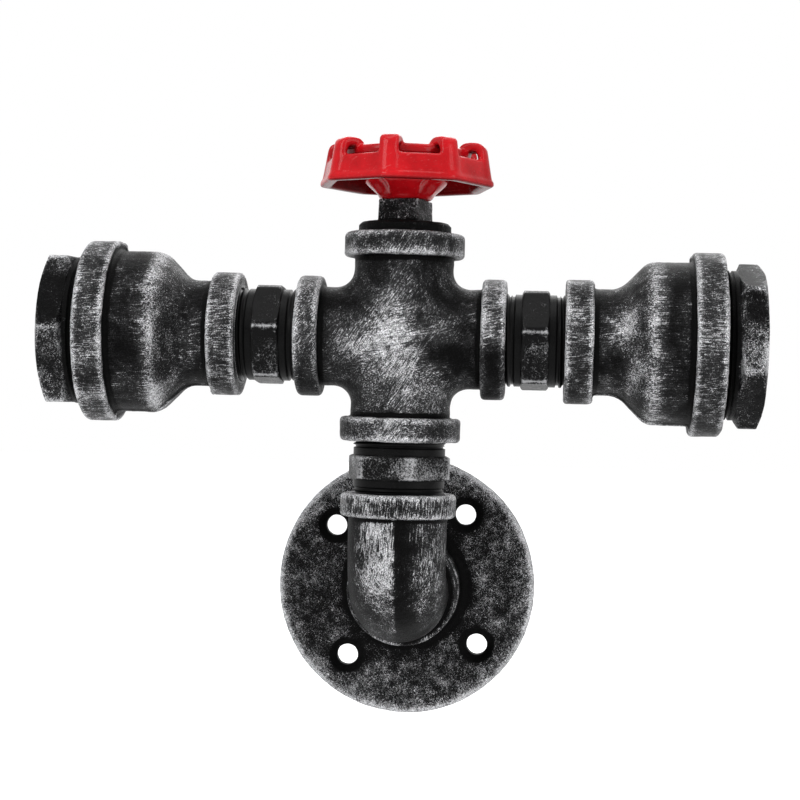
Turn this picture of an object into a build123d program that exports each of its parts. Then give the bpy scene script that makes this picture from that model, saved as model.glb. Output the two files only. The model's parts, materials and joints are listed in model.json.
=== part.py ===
"""Industrial pipe wall light: two lamp heads on a pipe cross, held out from a wall flange by an elbow.

Millimetres. The origin is the centre of the flange's back face, on the wall. +Z is up, +X is to the right
for someone facing the wall, and the light stands out from the wall towards -Y.
"""

from build123d import *
from math import cos, pi, radians, sin, sqrt, tan
import os

os.makedirs("parts", exist_ok=True)

# ---------------------------------------------------------------- pipe threads and clearances
small_thread_od = 26.4  # three-quarter inch pipe thread, over the crests
large_thread_od = 42.2  # one and a quarter inch pipe thread, over the crests
thread_clearance = 0.05  # radial, between an outer and an inner thread
small_waterway_r = 10.8  # free way through the small fittings
nipple_bore_r = 9.6
relief_depth = 0.8  # run-out groove behind an exposed thread
relief_width = 0.9

# ---------------------------------------------------------------- places
flange_gap = 1.6  # flange collar to elbow, along the flange nipple
elbow_reach = 30.4  # centre of the elbow to either end face
cross_reach = 29.6  # centre of the cross to each end face
lower_gap = 14.6  # elbow to cross, bridged by the lower hex nipple
side_gap = 16.4  # cross to reducer, bridged by a side hex nipple
bushing_gap = 3.6  # reducer to the hex of its bushing

# ---------------------------------------------------------------- wall flange
flange_od = 78.8
flange_plate = 5.2
flange_height = 16.0
flange_rim_round = 1.2
collar_od = 33.6
collar_fillet = 3.0
collar_round = 1.0
bolt_circle_d = 56.6
bolt_hole_d = 6.2
bolt_count = 4
bolt_turn = 51.3  # first hole, degrees from +X towards +Z
bolt_seat_d = 10.8
bolt_seat_depth = 1.8
flange_thread_depth = 12.6
earth_radius = 15.6
earth_angle = 90.0
earth_screw_d = 3.0
earth_screw_depth = 3.2
earth_recess_r = 4.6
earth_recess_depth = 2.9
earth_washer_r = 3.6
earth_washer_t = 0.6
earth_washer_lip = 0.5
earth_head_r = 2.7
earth_head_t = 1.9
earth_slot_w = 0.7
earth_slot_depth = 0.7

# ---------------------------------------------------------------- elbow
elbow_body_od = 28.2
elbow_band_proud = 2.4
elbow_band_width = 6.8
elbow_bend_r = 16.0
elbow_thread_depth = 13.4

# ---------------------------------------------------------------- cross
cross_body_od = 28.4
cross_band_proud = 3.0
cross_band_width = 7.0
cross_fillet_r = 6.6
cross_thread_depth = 13.4
cross_section_angles = (-62, -42, -20, 0, 20, 42, 62)  # round an arm, where its inner corner is drawn
band_round = 1.3

# ---------------------------------------------------------------- nipples
lower_hex_af = 26.6
lower_hex_width = 7.1
side_hex_af = 26.6
side_hex_width = 7.9
hex_corner_d = 29.4
hex_chamfer = 30.0  # degrees
neck_length = 2.0
nipple_engagement = 12.4
lower_hex_turn = 48.3  # degrees, where tightening left the hexagon
left_hex_turn = 38.0
right_hex_turn = 22.0

# ---------------------------------------------------------------- bell reducers
reducer_length = 44.0
reducer_small_band_width = 8.0
reducer_small_band_proud = 2.55  # from the neck
reducer_neck_od = 30.2
reducer_neck_end = 15.2  # from the small end face
reducer_cone_end = 23.0
reducer_barrel_od = 46.2
reducer_large_band_proud = 2.8  # from the barrel
reducer_large_band_width = 8.8
reducer_thread_depth = 12.6
reducer_wall = 3.0
reducer_small_thread_depth = 13.4
reducer_small_band_foot = 0.8  # radius of the corner between band and neck
reducer_cone_start_r = 3.0
reducer_cone_end_r = 5.0
reducer_large_band_back_r = 1.2
reducer_large_band_front_r = 1.6

# ---------------------------------------------------------------- hex bushings
bushing_engagement = 12.2
bushing_hex_width = 7.4
bushing_hex_af = 41.6
bushing_corner_d = 47.2
bushing_bore_r = 18.2
bushing_lip_r = 16.4
bushing_lip_t = 1.6
left_bushing_turn = 30.0
right_bushing_turn = -10.0

# ---------------------------------------------------------------- plug and handwheel
plug_shoulder = 3.0  # length of plug left above the cross
plug_chamfer = 0.9
plug_engagement = 11.0
plug_core_r = 8.2
plug_head_af = 12.4
plug_head_height = 6.5
plug_head_turn = -17.2
plug_head_taper = 2.0
plug_head_round = 0.6
plug_roof = 4.2  # metal left under the square head
wheel_screw_d = 5.0
wheel_thread_depth = 8.0
screw_clearance = 0.05
sleeve_wall = 1.4
wheel_running_fit = 0.06
wheel_end_float = 0.2
wheel_washer_r = 6.2
wheel_washer_t = 1.2
spring_washer_r = 4.4
spring_washer_t = 1.2
spring_washer_slit = 0.8
spring_washer_slant = 30.0
wheel_screw_head_r = 4.3
wheel_screw_head_t = 3.0
wheel_screw_dome = 1.2
wheel_recess_span = 4.6
wheel_recess_w = 1.0
wheel_recess_depth = 1.5

wheel_sides = 8
wheel_turn = -99.0  # direction of one corner, degrees from +X towards +Y
wheel_corner_r = 25.5  # corner of the eight-sided rim at its lower lip
wheel_rim_drop = 7.2  # height of the solid skirt
wheel_rim_taper = 9.0
wheel_rim_wall = 3.0
wheel_corner_round = 3.0
wheel_inner_round = 2.0
wheel_lip_height = 1.7
wheel_lip_proud = 0.5
wheel_lip_round = 0.45
wheel_hub_base_r = 7.6
wheel_hub_base_t = 1.0
wheel_bell_r = 11.8  # the hub opens upward to this radius
wheel_bell_rise = 4.8
wheel_hub_rise = 3.6  # hub bottom to the lower lip of the rim
wheel_hub_height = 9.4
wheel_hub_collar = 1.4  # height of the hub's collar above its web
wheel_hub_round = 0.8
wheel_hub_top_round = 0.4
wheel_scoop_r = 5.6  # hollow between two arms, in the hub's underside
wheel_scoop_at = 13.2
wheel_scoop_rise = 0.6
wheel_ring_r = 16.6  # centre of the inner ring
wheel_ring_bar_r = 1.5
wheel_ring_rise = 12.4  # hub bottom to the centre of the inner ring
wheel_ring_under_round = 0.6
wheel_ring_top_round = 0.9
wheel_lobe_width = 5.2
wheel_lobe_inset = 0.3  # from the lip's corner in to the lobe's foot
wheel_lobe_top = 16.0  # hub bottom to the crown of a lobe
wheel_lobe_thickness = 2.6
wheel_crown_outer_round = 4.0
wheel_crown_inner_round = 3.0
wheel_lobe_under_round = 0.5
wheel_arm_count = 4
wheel_arm_width = 8.2
wheel_arm_turn = -90.0
wheel_arm_bend = 4.0  # size and radius of an arm's bend where it meets the ring
wheel_web_t = 2.6

# ---------------------------------------------------------------- lampholders
holder_shoulder_r = 17.9
holder_shoulder_t = 4.8
holder_body_r = 16.6
holder_seat_gap = 0.1
holder_floor_t = 6.5
holder_back_round = 1.0
holder_front_round = 0.6
holder_back_clearance = 1.17  # radial, from the body's back edge to the reducer's inner cone
shell_outer_r = 14.0
shell_wall = 0.6
shell_clearance = 0.2
shell_mouth_gap = 0.6
shell_lip_r = 8.0
shell_foot_r = 13.0  # the shell is drawn in below its thread
shell_foot_height = 4.2
ring_inner_r = 16.9
ring_length = 3.8
ring_notch_w = 2.4
ring_notch_depth = 1.2

plunger_head_r = 3.3
plunger_head_t = 2.0
plunger_stem_r = 1.7
plunger_travel = 1.5
plunger_spare = 0.2  # air left under the head at full travel
plunger_dome = 1.4
plunger_guide_fit = 0.1
plunger_pocket_r = 3.7
plunger_pocket_depth = 5.0
spring_turns = 4
spring_wire = 0.6
spring_wire_sides = 6
plunger_foot_r = 2.4
plunger_foot_t = 0.7

terminal_radius = 9.5
neutral_plate_y = (-3.0, 9.4)
live_plate_reach = 3.4  # past the plunger, on the far side from the screw
terminal_plate_t = 0.8
terminal_plate_w = 6.0
terminal_plate_round = 1.0
terminal_screw_d = 3.0
terminal_screw_depth = 5.2
terminal_head_r = 2.8
terminal_head_t = 1.5
terminal_slot_w = 0.8
terminal_slot_depth = 0.7
rivet_r = 1.3
rivet_head_r = 2.1
rivet_head_t = 0.6
rivet_radius = 10.2
rivet_angle = 40.0

# ---------------------------------------------------------------- wiring
wire_r = 0.8
wire_gap = 0.1  # air kept between a wire and what it passes
wire_lane_y = 2.45
wire_lane_z = 4.5
wire_tail = 3.4
wire_bend_r = 3.6
wire_turn_r = 7.0

block_width = 16.4
block_height = 9.2
block_length = 13.0
block_front = 13.0  # from the wall to the near end of the block
block_drop = 1.9
block_round = 0.8
pole_pitch = 8.0
clamp_outer_r = 2.6
clamp_inner_r = 1.85
clamp_clearance = 0.05
clamp_inset = 1.0
clamp_screw_r = 1.2
clamp_screw_spacing = 6.0
clamp_screw_sink = 0.6
clamp_slot_w = 0.5
clamp_slot_depth = 0.5

# ---------------------------------------------------------------- places worked out from the above
small_thread_r = small_thread_od / 2
large_thread_r = large_thread_od / 2
small_port_r = small_thread_r + thread_clearance
large_port_r = large_thread_r + thread_clearance
axis_stand_off = flange_height + flange_gap + elbow_reach  # wall to the vertical axis of the light
elbow_top_z = elbow_reach
cross_z = elbow_top_z + lower_gap + cross_reach
cross_top_z = cross_z + cross_reach
plug_face_z = cross_top_z + plug_shoulder
plug_top_z = plug_face_z + plug_head_height
hub_bottom_z = plug_top_z + wheel_end_float
reducer_start = cross_reach + side_gap
reducer_end = reducer_start + reducer_length
bushing_hex_start = reducer_end + bushing_gap
bushing_face = bushing_hex_start + bushing_hex_width
holder_front = bushing_face - bushing_lip_t - holder_seat_gap
reducer_slope = (reducer_barrel_od - reducer_neck_od) / 2 / (reducer_cone_end - reducer_neck_end)
holder_back_way = (holder_body_r + holder_back_clearance - small_waterway_r) / reducer_slope
holder_back = reducer_start + reducer_neck_end + holder_back_way
shell_front = holder_front - shell_mouth_gap
holder_floor = holder_back + holder_floor_t
terminal_hole_r = terminal_screw_d / 2 + thread_clearance

EPS = 0.5  # how far a cutting tool runs past the face that it opens

# A fitting's own frame has its axis along +Z. These turn it into the light's frame.
UPRIGHT = Pos(0, -axis_stand_off, 0)
CROSS_AT = Pos(0, -axis_stand_off, cross_z)
OUT_OF_WALL = Rot(90, 0, 0)  # +Z of the fitting points to -Y, away from the wall
RIGHT_HEAD = CROSS_AT * Rot(0, 90, 0)  # +Z of the head points to +X
LEFT_HEAD = CROSS_AT * Rot(0, -90, 0)


def write(name, *solids):
    """Writes one node: a single solid, or several separate ones side by side."""
    shape = solids[0] if len(solids) == 1 else Compound(children=list(solids))
    export_step(shape, f"parts/{name}.step")


def rounded_face(outline, rounds):
    """A flat face through these corners; rounds gives {corner: fillet radius}."""
    face = make_face(Polyline(*outline, close=True))
    for corner, radius in rounds.items():
        face = fillet(face.vertices().sort_by_distance(outline[corner])[:1], radius)
    return face


def turned(outline, rounds={}):
    """A solid of revolution about Z from (radius, height) corners."""
    return revolve(Plane.XZ * rounded_face(outline, rounds), Axis.Z)


def rod(radius, low, high):
    return Pos(0, 0, low) * Cylinder(radius, high - low, align=(Align.CENTER, Align.CENTER, Align.MIN))


def hex_prism(across_flats, corner_d, low, high):
    """A hexagonal nut form whose corners are chamfered by a cone at both ends."""
    prism = Pos(0, 0, low) * extrude(RegularPolygon(across_flats / 2, 6, major_radius=False), high - low)
    chamfer = (corner_d - across_flats) / 2 * tan(radians(hex_chamfer))
    barrel = turned(
        [
            (0, low),
            (across_flats / 2, low),
            (corner_d / 2, low + chamfer),
            (corner_d / 2, high - chamfer),
            (across_flats / 2, high),
            (0, high),
        ]
    )
    return prism & barrel


def at_angle(radius, degrees):
    return Pos(radius * cos(radians(degrees)), radius * sin(radians(degrees)), 0)


def screw_slot(face, head_r, width, depth):
    """The cut of a screwdriver slot across a screw head whose face is at this height."""
    return Pos(0, 0, face) * Box(2 * head_r + EPS, width, 2 * depth)


def threaded_tube(low, high, reliefs, bore):
    """A nipple's tube: full thread radius with a run-out groove above each height in reliefs."""
    tube = rod(small_thread_r, low, high)
    for height in reliefs:
        groove = rod(small_thread_r + EPS, height, height + relief_width)
        tube -= groove - rod(small_thread_r - relief_depth, height, height + relief_width)
    return tube - rod(bore, low - EPS, high + EPS)


# ---------------------------------------------------------------- wall flange and what it holds
def wall_flange():
    rim, collar = flange_od / 2, collar_od / 2
    body = turned(
        [
            (small_port_r, 0),
            (rim, 0),
            (rim, flange_plate),
            (collar, flange_plate),
            (collar, flange_height),
            (small_port_r, flange_height),
        ],
        {2: flange_rim_round, 3: collar_fillet, 4: collar_round},
    )
    hole_r, seat_r = bolt_hole_d / 2, bolt_seat_d / 2
    seat = flange_plate - bolt_seat_depth
    drill = turned(
        [
            (0, -EPS),
            (hole_r, -EPS),
            (hole_r, seat),
            (seat_r, flange_plate),
            (seat_r, flange_plate + EPS),
            (0, flange_plate + EPS),
        ]
    )
    for step in range(bolt_count):
        body -= at_angle(bolt_circle_d / 2, bolt_turn + 360 / bolt_count * step) * drill
    earth = at_angle(earth_radius, earth_angle)
    body -= earth * rod(earth_recess_r, -EPS, earth_recess_depth)
    tapped = earth_recess_depth + earth_screw_depth
    body -= earth * rod(earth_screw_d / 2 + thread_clearance, 0, tapped)
    return OUT_OF_WALL * body


def flange_nipple():
    low = flange_height - flange_thread_depth
    high = flange_height + flange_gap + nipple_engagement
    return OUT_OF_WALL * (rod(small_thread_r, low, high) - rod(small_waterway_r, low - EPS, high + EPS))


def earth_screw():
    seat = earth_recess_depth - earth_washer_t
    shank = rod(earth_screw_d / 2, seat - EPS, earth_recess_depth + earth_screw_depth - thread_clearance)
    head = rod(earth_head_r, seat - earth_head_t, seat)
    slot = screw_slot(seat - earth_head_t, earth_head_r, earth_slot_w, earth_slot_depth)
    return OUT_OF_WALL * at_angle(earth_radius, earth_angle) * (head + shank - slot)


def earth_washer():
    seat = earth_recess_depth
    cup = turned(
        [
            (earth_screw_d / 2 + screw_clearance, seat),
            (earth_screw_d / 2 + screw_clearance, seat - earth_washer_t),
            (earth_head_r + thread_clearance, seat - earth_washer_t),
            (earth_head_r + thread_clearance, seat - earth_washer_t - earth_washer_lip),
            (earth_washer_r, seat - earth_washer_t - earth_washer_lip),
            (earth_washer_r, seat),
        ]
    )
    return OUT_OF_WALL * at_angle(earth_radius, earth_angle) * cup


# ---------------------------------------------------------------- cast fittings
def band(r, width, face, inner_r):
    """The bead round a fitting's mouth: from face back by width, rounded on both outer edges."""
    outline = [(inner_r, face - width), (r, face - width), (r, face), (inner_r, face)]
    return turned(outline, {1: band_round, 2: band_round})


def elbow():
    body_r = elbow_body_od / 2
    bend_axis = Axis((0, elbow_bend_r, elbow_bend_r), (1, 0, 0))
    upper = rod(body_r, elbow_bend_r, elbow_reach)
    upper += band(body_r + elbow_band_proud, elbow_band_width, elbow_reach, small_waterway_r)
    upper -= rod(small_waterway_r, elbow_bend_r - EPS, elbow_reach + EPS)
    ring = Pos(0, 0, elbow_bend_r) * (Circle(body_r) - Circle(small_waterway_r))
    bend = revolve(ring, bend_axis, 90)
    towards_wall = Rot(-90, 0, 0)
    body = upper + bend + towards_wall * upper
    port = rod(small_port_r, elbow_reach - elbow_thread_depth, elbow_reach + EPS)
    return UPRIGHT * (body - port - towards_wall * port)


def cross_outline(half_width):
    """The cross seen from the front at one depth: four arms this wide, joined by concave corners."""
    corner = half_width + cross_fillet_r
    outline = Rectangle(2 * corner, 2 * corner)
    for x in (-corner, corner):
        for y in (-corner, corner):
            outline -= Pos(x, y) * Circle(cross_fillet_r + EPS)
    return outline


def cross():
    """Four arms at right angles. The concave corners between them follow the arms' round sections."""
    body_r = cross_body_od / 2
    arm = rod(body_r, 0, cross_reach)
    arm += band(body_r + cross_band_proud, cross_band_width, cross_reach, small_waterway_r)
    way = rod(small_waterway_r, 0, cross_reach + EPS)
    way += rod(small_port_r, cross_reach - cross_thread_depth, cross_reach + EPS)
    depths = [body_r * sin(radians(angle)) for angle in cross_section_angles]
    sections = [Pos(0, 0, d) * cross_outline(sqrt(body_r**2 - d**2)) for d in depths]
    body = Rot(90, 0, 0) * loft(sections, ruled=True)
    for turn in range(4):
        body += Rot(0, 90 * turn, 0) * arm
    for turn in range(4):
        body -= Rot(0, 90 * turn, 0) * way
    body -= Sphere(small_waterway_r)
    return CROSS_AT * body


def bell_reducer():
    """From the small mouth to the large one, along +Z in the head's frame."""
    neck_r, barrel_r = reducer_neck_od / 2, reducer_barrel_od / 2
    small_r, large_r = neck_r + reducer_small_band_proud, barrel_r + reducer_large_band_proud
    chamber_r = barrel_r - reducer_wall
    chamber_start = reducer_neck_end + (chamber_r - small_waterway_r) / reducer_slope
    outline = [
        (small_port_r, 0),
        (small_r, 0),
        (small_r, reducer_small_band_width),
        (neck_r, reducer_small_band_width),
        (neck_r, reducer_neck_end),
        (barrel_r, reducer_cone_end),
        (barrel_r, reducer_length - reducer_large_band_width),
        (large_r, reducer_length - reducer_large_band_width),
        (large_r, reducer_length),
        (large_port_r, reducer_length),
        (large_port_r, reducer_length - reducer_thread_depth),
        (chamber_r, reducer_length - reducer_thread_depth),
        (chamber_r, chamber_start),
        (small_waterway_r, reducer_neck_end),
        (small_waterway_r, reducer_small_thread_depth),
        (small_port_r, reducer_small_thread_depth),
    ]
    rounds = {
        1: band_round,
        2: reducer_small_band_foot,
        4: reducer_cone_start_r,
        5: reducer_cone_end_r,
        7: reducer_large_band_back_r,
        8: reducer_large_band_front_r,
    }
    return Pos(0, 0, reducer_start) * turned(outline, rounds)


# ---------------------------------------------------------------- nipples and bushings
def hex_nipple(gap, across_flats, hex_width):
    """Centred on the gap that it bridges, threads at both ends, hexagon in the middle."""
    end = gap / 2 + nipple_engagement
    neck = hex_width / 2 + neck_length
    tube = threaded_tube(-end, end, [neck, -neck - relief_width], nipple_bore_r)
    nut = hex_prism(across_flats, hex_corner_d, -hex_width / 2, hex_width / 2)
    return tube + (nut - rod(nipple_bore_r, -hex_width, hex_width))


def bushing():
    start = bushing_hex_start - bushing_gap - bushing_engagement
    body = rod(large_thread_r, start, bushing_hex_start)
    body += hex_prism(bushing_hex_af, bushing_corner_d, bushing_hex_start, bushing_face)
    relief = bushing_hex_start - relief_width
    groove = rod(large_thread_r + EPS, relief, bushing_hex_start)
    body -= groove - rod(large_thread_r - relief_depth, relief, bushing_hex_start)
    body -= rod(bushing_bore_r, start - EPS, bushing_face - bushing_lip_t)
    return body - rod(bushing_lip_r, start, bushing_face + EPS)


# ---------------------------------------------------------------- plug and handwheel
def screw_bore(radius, depth):
    return rod(radius, plug_top_z - depth, plug_top_z + EPS)


def top_plug():
    """Cored plug with a square head, which carries the handwheel's screw."""
    shoulder_r = small_thread_r - plug_chamfer
    low = cross_top_z - plug_engagement
    body = turned(
        [
            (0, low),
            (small_thread_r, low),
            (small_thread_r, plug_face_z - plug_chamfer),
            (shoulder_r, plug_face_z),
            (0, plug_face_z),
        ]
    )
    head = Pos(0, 0, plug_face_z) * Rot(0, 0, plug_head_turn) * Rectangle(plug_head_af, plug_head_af)
    head = extrude(fillet(head.vertices(), plug_head_round), plug_head_height, taper=plug_head_taper)
    body += head
    body -= rod(plug_core_r, low - EPS, plug_face_z - plug_roof)
    body -= screw_bore(wheel_screw_d / 2 + screw_clearance, wheel_thread_depth)
    return UPRIGHT * body


def wheel_stack():
    """Heights of what stands on the square head: sleeve, washer, spring washer, screw head."""
    sleeve_top = hub_bottom_z + wheel_hub_height + wheel_end_float
    washer_top = sleeve_top + wheel_washer_t
    spring_top = washer_top + spring_washer_t
    return sleeve_top, washer_top, spring_top


def ring_between(inner, outer, low, high):
    return rod(outer, low, high) - rod(inner, low - EPS, high + EPS)


def wheel_sleeve():
    sleeve_top = wheel_stack()[0]
    inner = wheel_screw_d / 2 + screw_clearance
    return UPRIGHT * ring_between(inner, inner + sleeve_wall, plug_top_z, sleeve_top)


def wheel_washer():
    sleeve_top, washer_top, _ = wheel_stack()
    inner = wheel_screw_d / 2 + screw_clearance
    return UPRIGHT * ring_between(inner, wheel_washer_r, sleeve_top, washer_top)


def wheel_spring_washer():
    _, washer_top, spring_top = wheel_stack()
    inner = wheel_screw_d / 2 + screw_clearance
    washer = ring_between(inner, spring_washer_r, washer_top, spring_top)
    middle = (washer_top + spring_top) / 2
    slit = Box(2 * spring_washer_r, spring_washer_slit, 4 * spring_washer_t)
    slit = Pos(spring_washer_r, 0, middle) * Rot(spring_washer_slant, 0, 0) * slit
    return UPRIGHT * (washer - slit)


def wheel_screw():
    spring_top = wheel_stack()[2]
    shank = rod(wheel_screw_d / 2, plug_top_z - wheel_thread_depth + EPS, spring_top)
    head_top = spring_top + wheel_screw_head_t
    head = turned(
        [(0, spring_top), (wheel_screw_head_r, spring_top), (wheel_screw_head_r, head_top), (0, head_top)],
        {2: wheel_screw_dome},
    )
    recess = Box(wheel_recess_span, wheel_recess_w, 2 * wheel_recess_depth)
    recess += Box(wheel_recess_w, wheel_recess_span, 2 * wheel_recess_depth)
    recess = Pos(0, 0, head_top) * recess
    return UPRIGHT * (head + shank - recess)


def octagon(corner_r, height, rounding):
    outline = RegularPolygon(corner_r, wheel_sides, rotation=0)
    return Pos(0, 0, height) * fillet(outline.vertices(), rounding)


def wheel_skirt():
    """The eight-sided wall of the rim: tapered, open inside, with a proud lip along its lower edge."""
    flat = cos(pi / wheel_sides)
    lean = tan(radians(wheel_rim_taper)) / flat
    wall_r = wheel_corner_r - wheel_lip_proud
    inner_r = wheel_corner_r - wheel_rim_wall / flat
    low, high = -EPS, wheel_rim_drop + EPS
    lip = extrude(octagon(wheel_corner_r, 0, wheel_corner_round), wheel_lip_height)
    lip = fillet(lip.edges().group_by(Axis.Z)[-1], wheel_lip_round)
    top = octagon(wall_r - wheel_rim_drop * lean, wheel_rim_drop, wheel_corner_round)
    wall = loft([octagon(wall_r, 0, wheel_corner_round), top], ruled=True)
    mouth = octagon(inner_r - low * lean, low, wheel_inner_round)
    hollow = loft([mouth, octagon(inner_r - high * lean, high, wheel_inner_round)], ruled=True)
    return Pos(0, 0, wheel_hub_rise) * (lip + wall - hollow)


def wheel_lobe():
    """One arched lobe at a corner of the rim, from the skirt over to the inner ring, along +X."""
    lean = tan(radians(wheel_rim_taper)) / cos(pi / wheel_sides)
    foot = wheel_hub_rise + wheel_lip_height
    shoulder = wheel_hub_rise + wheel_rim_drop
    foot_r = wheel_corner_r - wheel_lobe_inset
    bar = wheel_ring_bar_r
    top = wheel_lobe_top
    thick = wheel_lobe_thickness
    outer = [
        (foot_r - lean * wheel_lip_height, foot),
        (foot_r - lean * (top - wheel_hub_rise), top),
        (wheel_ring_r, top),
        (wheel_ring_r - bar, wheel_ring_rise + bar),
        (wheel_ring_r - bar, wheel_ring_rise),
        (wheel_ring_r, wheel_ring_rise),
        (wheel_ring_r + bar, top - thick),
        (foot_r - lean * (top - wheel_hub_rise) - thick, top - thick),
        (foot_r - lean * wheel_rim_drop - thick, shoulder),
        (foot_r - lean * wheel_lip_height - thick, foot),
    ]
    rounds = {
        1: wheel_crown_outer_round,
        2: wheel_crown_inner_round,
        6: wheel_lobe_under_round,
        7: wheel_lobe_under_round,
    }
    lobe = extrude(Plane.XZ * rounded_face(outer, rounds), wheel_lobe_width / 2, both=True)
    rise = top - wheel_hub_rise + EPS
    corner = octagon(foot_r - lean * rise, rise, wheel_corner_round)
    envelope = loft([octagon(foot_r, 0, wheel_corner_round), corner], ruled=True)
    return lobe & Pos(0, 0, wheel_hub_rise) * envelope


def wheel_arm():
    """One arm, along +X: a curved web from the hub up to the inner ring."""
    bend = wheel_arm_bend
    core = wheel_hub_base_r - wheel_hub_base_t
    top = wheel_hub_height - wheel_hub_collar
    outer = [
        (core, wheel_hub_base_t),
        (wheel_hub_base_r, wheel_hub_base_t),
        (wheel_ring_r - bend, wheel_ring_rise - bend),
        (wheel_ring_r, wheel_ring_rise - wheel_ring_bar_r),
        (wheel_ring_r, wheel_ring_rise),
        (wheel_ring_r - bend, wheel_ring_rise),
        (wheel_hub_base_r, top),
        (core, top),
    ]
    face = rounded_face(outer, {2: bend, 5: bend})
    return extrude(Plane.XZ * face, wheel_arm_width / 2, both=True)


def handwheel():
    """Cast handwheel: hub, four arms, inner ring, eight-sided skirt and a lobe over each of its corners."""
    bore = wheel_screw_d / 2 + screw_clearance + sleeve_wall + wheel_running_fit
    base, height = wheel_hub_base_r, wheel_hub_height
    hub = turned(
        [
            (0, 0),
            (base, 0),
            (base, wheel_hub_base_t),
            (wheel_bell_r, wheel_bell_rise),
            (wheel_bell_r, wheel_bell_rise + wheel_web_t),
            (base, height - wheel_hub_collar),
            (base, height),
            (0, height),
        ],
        {2: wheel_hub_round, 3: wheel_hub_round, 5: wheel_hub_round, 6: wheel_hub_top_round},
    )
    for arm in range(wheel_arm_count):
        between = wheel_arm_turn - wheel_turn + 360 / wheel_arm_count * (arm + 0.5)
        scoop = at_angle(wheel_scoop_at, between) * Pos(0, 0, wheel_scoop_rise) * Sphere(wheel_scoop_r)
        hub -= scoop
    bar = wheel_ring_bar_r
    ring = turned(
        [
            (wheel_ring_r - bar, wheel_ring_rise - bar),
            (wheel_ring_r + bar, wheel_ring_rise - bar),
            (wheel_ring_r + bar, wheel_ring_rise + bar),
            (wheel_ring_r - bar, wheel_ring_rise + bar),
        ],
        {
            0: wheel_ring_under_round,
            1: wheel_ring_under_round,
            2: wheel_ring_top_round,
            3: wheel_ring_top_round,
        },
    )
    wheel = hub + ring + wheel_skirt()
    for side in range(wheel_sides):
        wheel += Rot(0, 0, 360 / wheel_sides * side) * wheel_lobe()
    for arm in range(wheel_arm_count):
        wheel += Rot(0, 0, wheel_arm_turn - wheel_turn + 360 / wheel_arm_count * arm) * wheel_arm()
    wheel -= rod(bore, -EPS, wheel_lobe_top)
    return Pos(0, -axis_stand_off, hub_bottom_z) * Rot(0, 0, wheel_turn) * wheel


# ---------------------------------------------------------------- lampholder, in the head's frame
# In the head's frame the live side is at -X and the neutral side at +X.
plate_back = holder_back - terminal_plate_t
wire_seat = plate_back - wire_r - wire_gap / 2
head_seat = plate_back - 2 * wire_r - wire_gap
plunger_rest = holder_floor + plunger_travel + plunger_spare
pocket_floor = holder_floor - plunger_pocket_depth
stem_bore = plunger_stem_r + plunger_guide_fit
rivet_at = at_angle(rivet_radius, rivet_angle)


def lampholder_body():
    shoulder = holder_front - holder_shoulder_t
    body = turned(
        [
            (0, holder_back),
            (holder_body_r, holder_back),
            (holder_body_r, shoulder),
            (holder_shoulder_r, shoulder),
            (holder_shoulder_r, holder_front),
            (0, holder_front),
        ],
        {1: holder_back_round, 4: holder_front_round},
    )
    body -= rod(shell_outer_r + shell_clearance, holder_floor, holder_front + EPS)
    body -= rod(plunger_pocket_r, pocket_floor, holder_floor + EPS)
    body -= rod(stem_bore, holder_back - EPS, holder_floor)
    hole = rod(terminal_hole_r, holder_back - EPS, holder_back + terminal_screw_depth)
    for side in (-1, 1):
        body -= Pos(side * terminal_radius, 0, 0) * hole
    return body - rivet_at * rod(rivet_r + thread_clearance, holder_back - EPS, holder_floor + EPS)


def socket_shell():
    bottom = holder_floor + shell_wall
    step = holder_floor + shell_foot_height
    shell = turned(
        [
            (shell_lip_r, holder_floor),
            (shell_foot_r, holder_floor),
            (shell_foot_r, step - shell_wall),
            (shell_outer_r, step - shell_wall),
            (shell_outer_r, shell_front),
            (shell_outer_r - shell_wall, shell_front),
            (shell_outer_r - shell_wall, step),
            (shell_foot_r - shell_wall, step),
            (shell_foot_r - shell_wall, bottom),
            (shell_lip_r, bottom),
        ]
    )
    return shell - rivet_at * rod(rivet_r + thread_clearance, holder_floor - EPS, bottom + EPS)


def shell_rivet():
    lip = holder_floor + shell_wall
    pin = rod(rivet_r, plate_back - rivet_head_t, lip)
    heads = rod(rivet_head_r, lip, lip + rivet_head_t)
    heads += rod(rivet_head_r, plate_back - rivet_head_t, plate_back)
    return rivet_at * (pin + heads)


def plate_over(x_low, x_high, y_low, y_high):
    size = (x_high - x_low, y_high - y_low, terminal_plate_t)
    plate = Box(*size, align=(Align.MIN, Align.MIN, Align.MAX))
    plate = Pos(x_low, y_low, holder_back) * plate
    return fillet(plate.edges().filter_by(Axis.Z), terminal_plate_round)


def live_terminal():
    reach = terminal_radius + terminal_plate_w / 2
    plate = plate_over(-reach, live_plate_reach, -terminal_plate_w / 2, terminal_plate_w / 2)
    plate -= rod(stem_bore, plate_back - EPS, holder_back + EPS)
    return plate - Pos(-terminal_radius, 0, 0) * rod(terminal_hole_r, plate_back - EPS, holder_back + EPS)


def neutral_terminal():
    low, high = neutral_plate_y
    half = terminal_plate_w / 2
    plate = plate_over(terminal_radius - half, terminal_radius + half, low, high)
    plate -= rivet_at * rod(rivet_r + thread_clearance, plate_back - EPS, holder_back + EPS)
    return plate - Pos(terminal_radius, 0, 0) * rod(terminal_hole_r, plate_back - EPS, holder_back + EPS)


def terminal_screws():
    screw = rod(terminal_screw_d / 2, head_seat - EPS, holder_back + terminal_screw_depth - thread_clearance)
    screw += rod(terminal_head_r, head_seat - terminal_head_t, head_seat)
    screw -= screw_slot(head_seat - terminal_head_t, terminal_head_r, terminal_slot_w, terminal_slot_depth)
    return [Pos(side * terminal_radius, 0, 0) * screw for side in (-1, 1)]


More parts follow.
